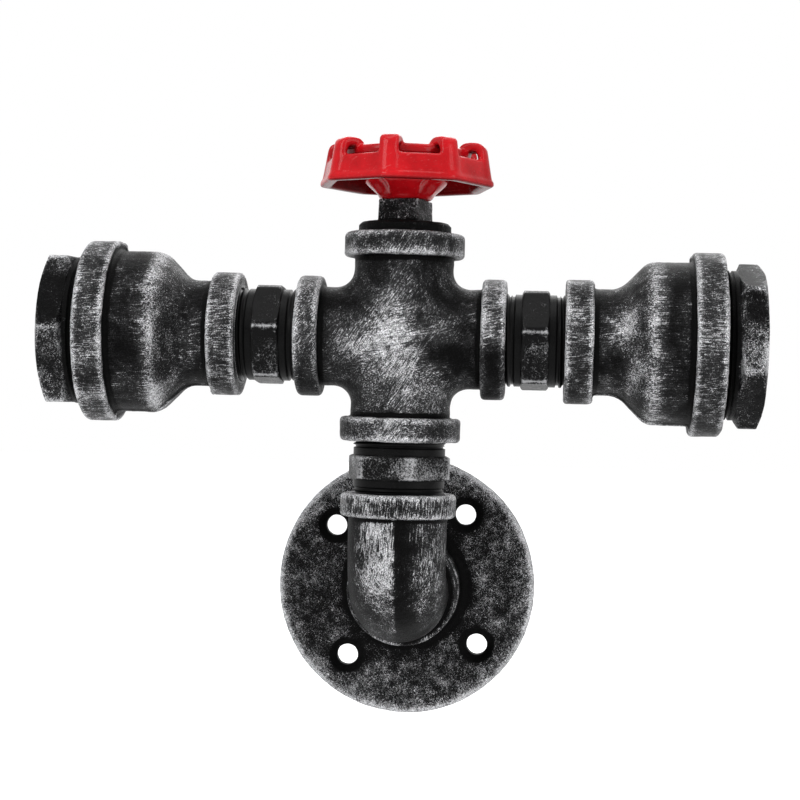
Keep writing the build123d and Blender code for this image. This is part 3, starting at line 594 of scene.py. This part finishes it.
finishes = {
    "plated_steel": plain_metal("plated_steel", (0.62, 0.62, 0.60, 1), (0.46, 0.46, 0.45, 1), 0.34),
    "spring_steel": plain_metal("spring_steel", (0.52, 0.52, 0.53, 1), (0.40, 0.40, 0.42, 1), 0.28),
    "brass": plain_metal("brass", (0.74, 0.53, 0.22, 1), (0.55, 0.37, 0.14, 1), 0.32),
    "nickelled_brass": plain_metal(
        "nickelled_brass", (0.72, 0.67, 0.50, 1), (0.58, 0.52, 0.36, 1), 0.26, (0.15, 1.2, 1.2)
    ),
    "porcelain": porcelain(),
    "terminal_ceramic": matte("terminal_ceramic", (0.80, 0.77, 0.70, 1), (0.68, 0.65, 0.58, 1), 0.6),
    "wire_brown": matte("wire_brown", (0.20, 0.09, 0.04, 1), (0.13, 0.06, 0.025, 1), 0.5),
    "wire_blue": matte("wire_blue", (0.04, 0.12, 0.45, 1), (0.025, 0.08, 0.32, 1), 0.5),
    "cast_iron_body": iron_flange,
    "thread_steel": black_threads,
    "red_enamel": red,
}
for entry in frame["record"]["subparts"]:
    data = nodes[entry["node"]].data
    data.materials.clear()
    data.materials.append(finishes[entry["material_slot"]])


# ---------------------------------------------------------------- cast fittings
def flange():
    """Mottled silver, denser towards the rim; black in the screw holes, in the bore and on the back."""
    points, faces = remeshed("wall_flange", 0.5, 2)
    points = cast(points, faces, 3, 0.10, 0.05)
    x, y, z = points.T
    from_axis = np.hypot(x, z)
    mottle = 0.2 * rough(points, 5.0, 91) + 0.45 * rough(points, 2.4, 92) + rough(points, 1.2, 93)
    bright = 0.35 * ramp(from_axis, 33, 5) + 0.25 * bell((from_axis, 38.3, 0.7)) - 0.35 * ramp(from_axis, 24, -5)
    bright += 0.6 * np.clip(mottle, -0.5, 1)
    for turn in BOLT_TURNS:
        from_hole = np.hypot(x - BOLT_CIRCLE_R * cos(radians(turn)), z - BOLT_CIRCLE_R * sin(radians(turn)))
        bright = np.where(from_hole < 5.6, -1.2, bright)
    bright = np.where((y > -0.8) | (from_axis < 12.6), -1.0, bright)
    finish_piece("flange_cast", points, faces, BODY, iron_flange, ["wall_flange"], bright=bright)


def elbow():
    """A seam down the front of the bend; silver left and right of it, partly painted highlight; a painted shadow just
    right of the seam; painted shade towards the bottom; and a brushed band on top.
    """
    points, faces = remeshed("elbow", 0.42, 3)
    n = vertex_normals(points, faces)
    x, y, z = points.T
    outer = np.hypot(x, np.minimum(y - AXIS_Y, 0)) > 12
    ridge = 0.30 * bell((x, 0, 0.5)) * (y < AXIS_Y - 8) * (z < 24)
    points = cast(points, faces, 11, 0.10, 0.03) + n * (ridge * outer)[:, None]
    x, y, z = points.T
    band = ramp(z, 23.4, 0.5)
    # painted shade: less silver towards the bottom of the bend
    low = np.maximum(ramp(z, -10, 16), 0.35)
    # silver left and right of the seam, partly real brushing and partly painted highlight
    left = ramp(x, 0.1, -0.5) * ramp(x, -12, 5) * low
    right = ramp(x, 0, 0.5) * bell((x, 9.0, 4.2)) * low
    # painted shadow: less silver just right of the seam
    dark = ramp(x, 0, 0.5) * bell((x, 2.5, 3.5))
    seam = bell((x, 0, 0.45)) * (z < 2) * (y < AXIS_Y)
    bright = np.where(band > 0, band * 0.72, left * 1.25 + right * 0.9 - dark * 0.25 + 0.9 * seam)
    finish_piece("elbow_cast", points, faces, BODY, iron_elbow, ["elbow"], bright=bright)


def cross():
    """Soft crotches, silver over the swelling in the middle, and a band on each arm with its own amount of silver,
    less on the lower part of each side band.
    """
    points, faces = remeshed("cross", 0.5, 3)
    across = np.sort(np.abs(points[:, [0, 2]] - [0, CROSS_Z]), axis=1)
    crotch = ramp(across[:, 0], 3, 4) * ramp(across[:, 1], 22.2, -2)
    points += crotch[:, None] * (averaged(points, edges_of(faces), 40) - points)
    points = cast(points, faces, 23, 0.14, 0.035)
    x, z = points[:, 0], points[:, 2] - CROSS_Z

    def spot(at_x, at_z, wide, high):
        return bell((x, at_x, wide), (z, at_z, high))

    bright = spot(0, 6, 8, 12) + 0.95 * spot(-9, -3, 11, 7) + 0.9 * spot(5, -13, 9, 10) + 0.4 * spot(14, 4, 7, 5)
    bright -= 0.6 * spot(13, -5, 6, 3.5)
    # less silver on the lower part of each side band, darker towards the bottom
    side_band = 0.55 - 0.8 * ramp(z, np.where(x < 0, -6.0, 1.0), -7)
    low_band = 0.15 + 0.7 * bell((x, 1, 9))
    top_band = 0.30 + 0.35 * (z < 25.2)
    banded = np.where(z < -22, low_band, np.where(z > 22, top_band, side_band))
    band = ramp(np.maximum(np.abs(x), np.abs(z)), 22.5, 0.5)
    bright = np.where(band > 0, band * banded, np.clip(bright, -0.5, 1.15) - 0.05)
    finish_piece("cross_cast", points, faces, BODY, iron_cross, ["cross"], bright=bright)


flange()
elbow()
cross()

# ---------------------------------------------------------------- reducers, along +Z of a head
REDUCER = [
    (13.25, 0), (17.65, 0), (17.65, 8.0), (15.1, 8.0), (15.1, 15.2), (23.1, 23.0), (23.1, 35.2), (25.9, 35.2),
    (25.9, 44.0), (21.15, 44.0), (21.15, 31.4), (20.1, 31.4), (20.1, 24.27), (10.8, 15.2), (10.8, 13.4), (13.25, 13.4),
]
REDUCER_ROUNDS = {1: 1.0, 2: 1.0, 3: 1.0, 4: 7.0, 5: 5.0, 6: 0.9, 7: 1.0, 8: 1.1}


def reducer(side, seed, seam_at):
    """Bell reducer with two casting seams; seam_at is the direction of one in degrees."""
    points, faces = turned(REDUCER, 0.5, 240, REDUCER_ROUNDS)
    n = vertex_normals(points, faces)
    x, y, z = points.T
    off_seam = np.abs((np.arctan2(y, x) - radians(seam_at) + pi / 2) % pi - pi / 2) * 20
    ridge = 0.4 * bell((off_seam, 0, 0.8)) * (np.hypot(x, y) > 14) * (z > 7) * (z < 36)
    if side == "right":
        # right reducer: more silver on the front, at the height of the axis, partly real brushing and partly painted
        # highlight where the front lamps fall
        up, front = -x, ramp(y, 0, -6)
        banded = 0.2 + 0.4 * front * bell((up, 0, 11))
        shoulder = 0.75 * bell((z, 25, 2.6))
        cone = 0.15 * bell((z, 17, 4.5)) + 1.2 * front * bell((z, 15.5, 3.6), (up, 4, 6.5))
        cone += 0.8 * front * bell((z, 19.5, 2.6), (up, -8, 5.5))
    else:
        banded = 0.44
        shoulder = 0.75 * bell((z, 22, 2.6))
        cone = 0.25 * bell((z, 17, 4.5))
    band = np.maximum(ramp(z, 8.4, -0.4), ramp(z, 34.8, 0.4))
    bright = np.maximum(band * banded, np.maximum(shoulder, cone)) - 0.04
    points = cast(points, faces, seed, 0.14, 0.04) + n * ridge[:, None]
    points[:, 2] += REDUCER_START
    points = moved(points, HEADS[side])
    name = f"{side}_reducer"
    finish_piece(f"{name}_cast", points, faces, BODY, iron_reducer, [name], bright=bright)


reducer("left", 31, -170)
reducer("right", 37, -12)


# ---------------------------------------------------------------- nipples and bushings
def nipple(name, gap, hex_width, turn, place, seed):
    """Hexagon in the middle, a plain neck on each side of it, then thread."""
    half, end = hex_width / 2, gap / 2 + ENGAGED

    def shape(z):
        out = abs(z) - half - NECK
        if out < 0:
            return 0.0, 0.15
        if out < 0.7:
            return 0.0, 0.75
        return min(1.0, (out - 0.7) / 0.5), 0.05

    skin = Skin()
    shown = gap / 2 + 1.5
    skin.add(*threaded(-end, end, THREAD_R, 9.6, PITCH, 0.85, shape, (-shown, shown)))
    points, faces = hexagon(26.6, 29.4, -half, half, 9.8, turn)
    points = averaged(points, edges_of(faces), 1, 0.7)
    skin.add(cast(points, faces, seed, 0.04, 0.03), faces)
    points, faces = skin.arrays()
    hexed = np.abs(points[:, 2]) < half - 0.2
    outside = np.hypot(points[:, 0], points[:, 1]) > 13
    corner = hexed * (np.abs(from_corner(points, turn)) < 1.6) * outside
    points = moved(points, place)
    if gap == SIDE_GAP:
        bright = hexed * np.clip((1 - (points[:, 2] - CROSS_Z)) / 3, 0.45, 0.8) + 2.2 * corner
    else:
        bright = hexed * 0.95 + 0.9 * corner
    finish_piece(
        f"{name}_turned", points, faces, BODY, black_threads, [name],
        rounds=10, reach=0.16, bright=bright,
    )


MIDDLE = Matrix.Translation((0, 0, CROSS_REACH + SIDE_GAP / 2))
nipple("lower_hex_nipple", LOWER_GAP, 7.1, 48.3, UPRIGHT @ Matrix.Translation((0, 0, ELBOW_REACH + LOWER_GAP / 2)), 41)
nipple("left_hex_nipple", SIDE_GAP, 7.9, 38.0, HEADS["left"] @ MIDDLE, 43)
nipple("right_hex_nipple", SIDE_GAP, 7.9, 22.0, HEADS["right"] @ MIDDLE, 47)


def bushing(side, turn, seed):
    """Big hexagon at the end of a head, and the thread that goes into the reducer."""
    start, neck_end = REDUCER_END - 12.2, BUSHING_HEX[0]

    def shape(z):
        out = neck_end - z
        if out < 1.5:
            return 0.0, 0.1
        if out < 2.3:
            return 0.0, 1.0
        return min(1.0, (out - 2.3) / 0.5), 0.0

    skin = Skin()
    shown = (REDUCER_END - 2, neck_end)
    skin.add(*threaded(start, neck_end, BIG_THREAD_R, 18.2, BIG_PITCH, 1.1, shape, shown, 216))
    points, faces = hexagon(41.6, 47.2, *BUSHING_HEX, 16.4, turn, 0.35, 288)
    points = averaged(points, edges_of(faces), 1, 0.7)
    skin.add(cast(points, faces, seed, 0.06, 0.03), faces)
    points, faces = skin.arrays()
    hexed = points[:, 2] > neck_end - 0.1
    corner = (np.abs(from_corner(points, turn)) < 0.9) * (np.hypot(points[:, 0], points[:, 1]) > 21.5)
    points = moved(points, HEADS[side])
    up = points[:, 2] - CROSS_Z
    if side == "left":
        bright = np.clip((2 - up) / 3, -0.2, 0.5) + 0.7 * ramp(up, 14, 2)
    else:
        bright = np.where(up > -8, 0.7 * bell((up, -3, 9)) + 0.3 * ramp(points[:, 0], 97, 3), 0.1)
    bright = np.where(hexed, bright + 1.2 * corner, -0.6)
    name = f"{side}_bushing"
    finish_piece(
        f"{name}_cast", points, faces, BODY, iron_bushing, [name],
        rounds=12, reach=0.2, bright=bright,
    )


bushing("left", 30.0, 53)
bushing("right", -10.0, 59)


# ---------------------------------------------------------------- plug and handwheel
def plug():
    """Silver only on the square head, above the shoulder."""
    points, faces = remeshed("top_plug", 0.32, 2)
    points = cast(points, faces, 61, 0.06, 0.05)
    shoulder_z = CROSS_Z + CROSS_REACH + 3.0
    bright = np.where(points[:, 2] > shoulder_z + 0.2, 0.3, -0.5)
    finish_piece(
        "plug_cast", points, faces, BODY, iron_plug, ["top_plug"],
        rounds=12, reach=0.2, bright=bright,
    )


def handwheel():
    """Soft enamelled casting, with painted shade on its underside and on the inside of its skirt."""
    points, faces = remeshed("handwheel", 0.30, 5)
    points = averaged(points, edges_of(faces), 22)
    points += 0.16 * vertex_normals(points, faces)
    points = cast(points, faces, 67, 0.05, 0.0)
    radial = points - [0, AXIS_Y, 0]
    radial[:, 2] = 0
    distance = np.maximum(np.linalg.norm(radial, axis=1), 1e-6)
    n = vertex_normals(points, faces)
    # painted shade: bright falls below 0 on faces turned down, and on faces turned in towards the axis
    inward = -np.einsum("ij,ij->i", n, radial) / distance * (distance > 17)
    bright = -np.clip(np.maximum(inward, -n[:, 2] * (distance > 12)) * 1.6 - 0.2, 0, 1)
    finish_piece(
        "handwheel_enamelled", points, faces, "handwheel", red, ["handwheel"],
        rounds=16, reach=0.25, bright=bright,
    )


plug()
handwheel()


# ---------------------------------------------------------------- sockets and springs
SHELL_FOOT = [
    (8.0, 74.5), (13.0, 74.5), (13.0, 78.2), (13.6, 78.9), (13.3, 79.1), (12.5, 78.6), (12.5, 75.0), (8.0, 75.0),
]


def socket(side):
    """Drawn brass shell with the rolled thread that a bulb screws into."""
    segments, radius, half_depth, half_wall = 120, 13.45, 0.36, 0.17
    z = np.linspace(78.9, 98.6, 90)
    fade = np.minimum(ramp(z, 79.2, 1.2), ramp(z, 98.4, -1.2))
    wave = np.cos(2 * pi * (z[:, None] / SOCKET_PITCH - around(segments) / (2 * pi))) * fade[:, None]
    middle = radius + half_depth * wave
    radii = np.vstack([middle + half_wall, (middle - half_wall)[::-1]])
    heights = np.concatenate([z, z[::-1]])[:, None] * np.ones(segments)
    skin = Skin()
    skin.add(*grid(radii, heights, around(segments)))
    skin.add(*turned(SHELL_FOOT, 0.5, segments))
    points, faces = skin.arrays()
    points = moved(points, HEADS[side])
    brass = finishes["nickelled_brass"]
    finish_piece(f"{side}_shell_rolled", points, faces, BODY, brass, [f"{side}_socket_shell"])


socket("left")
socket("right")


def coil(side):
    """The contact spring, as its own object with its own copy of the mesh."""
    name = f"{side}_plunger_spring"
    spring = bpy.data.objects.new(f"{side}_coil", nodes[name].data.copy())
    bpy.context.scene.collection.objects.link(spring)
    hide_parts(name)
    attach(spring, BODY)
    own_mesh(spring)


coil("left")
coil("right")


# ---------------------------------------------------------------- stage, light and camera
def light_path_mix(tree, plain, seen):
    """Mixes two shaders: the second one where the camera, a mirror or glass looks at it."""
    path = tree.nodes.new("ShaderNodeLightPath")
    total = path.outputs["Is Camera Ray"]
    for key in ("Is Glossy Ray", "Is Transmission Ray"):
        node = tree.nodes.new("ShaderNodeMath")
        node.operation = "MAXIMUM"
        tree.links.new(total, node.inputs[0])
        tree.links.new(path.outputs[key], node.inputs[1])
        total = node.outputs[0]
    mix = tree.nodes.new("ShaderNodeMixShader")
    tree.links.new(total, mix.inputs[0])
    tree.links.new(plain, mix.inputs[1])
    tree.links.new(seen, mix.inputs[2])
    return mix.outputs[0]


def studio_world():
    """Soft light from everywhere, seen as plain white."""
    world = bpy.data.worlds.new("studio")
    bpy.context.scene.world = world
    world.use_nodes = True
    tree = world.node_tree
    tree.nodes.clear()
    soft, white = tree.nodes.new("ShaderNodeBackground"), tree.nodes.new("ShaderNodeBackground")
    soft.inputs["Color"].default_value = (0.95, 0.97, 1.0, 1)
    soft.inputs["Strength"].default_value = 0.32
    white.inputs["Color"].default_value = (1, 1, 1, 1)
    out = tree.nodes.new("ShaderNodeOutputWorld")
    tree.links.new(light_path_mix(tree, soft.outputs[0], white.outputs[0]), out.inputs[0])


def studio_floor(half=4.0, z=-0.10):
    """Pale floor that keeps the object's shadow and is seen white further out."""
    mesh = bpy.data.meshes.new("floor")
    corners = [(-half, -half, z), (half, -half, z), (half, half, z), (-half, half, z)]
    mesh.from_pydata(corners, [], [(0, 1, 2, 3)])
    floor = bpy.data.objects.new("floor", mesh)
    bpy.context.scene.collection.objects.link(floor)
    net = Net("floor_white")
    net.set(Base_Color=(0.9, 0.9, 0.9, 1), Roughness=0.9, Specular_IOR_Level=0.0)
    lit = net.tree.nodes.new("ShaderNodeAddShader")
    glow = net.tree.nodes.new("ShaderNodeEmission")
    glow.inputs["Color"].default_value = (1, 1, 1, 1)
    away = net.tree.nodes.new("ShaderNodeVectorMath")
    away.operation = "LENGTH"
    net.put(away.inputs[0], net.where)
    net.put(glow.inputs["Strength"], net.step(away.outputs["Value"], 0.35, 1.1, 0.6, 1.0))
    net.tree.links.new(net.shader.outputs[0], lit.inputs[0])
    net.tree.links.new(glow.outputs[0], lit.inputs[1])
    net.tree.links.new(light_path_mix(net.tree, net.shader.outputs[0], lit.outputs[0]), net.out.inputs["Surface"])
    mesh.materials.append(net.material)


def lamp(name, where, target, size, power):
    data = bpy.data.lights.new(name, "AREA")
    data.shape = "RECTANGLE"
    data.size, data.size_y = size
    data.energy = power
    obj = bpy.data.objects.new(name, data)
    bpy.context.scene.collection.objects.link(obj)
    obj.location = where
    obj.rotation_euler = (Vector(target) - Vector(where)).to_track_quat("-Z", "Y").to_euler()


studio_world()
studio_floor()
CENTRE = (0, AXIS_Y * MM, 0.06)
lamp("key", (-0.75, -0.85, 0.75), CENTRE, (0.7, 0.7), 8.5)
lamp("fill", (0.95, -0.75, 0.35), CENTRE, (0.7, 0.9), 5.5)
lamp("top", (0.05, -0.15, 1.1), CENTRE, (0.9, 0.6), 5.0)
lamp("back", (0.1, 0.9, 0.7), CENTRE, (0.8, 0.6), 4.0)

# Lens, place and turn were fitted to the outline of the light in the photo.
camera_data = bpy.data.cameras.new("camera")
camera_data.lens = 84.15
camera_data.sensor_width = 36.0
camera_data.clip_start = 0.01
camera = bpy.data.objects.new("camera", camera_data)
bpy.context.scene.collection.objects.link(camera)
camera.location = (0.0392, -0.5794, 0.0569)
camera.rotation_euler = (radians(90), radians(-1.51), radians(4.24))
bpy.context.scene.camera = camera
bpy.context.scene.view_settings.view_transform = "Standard"
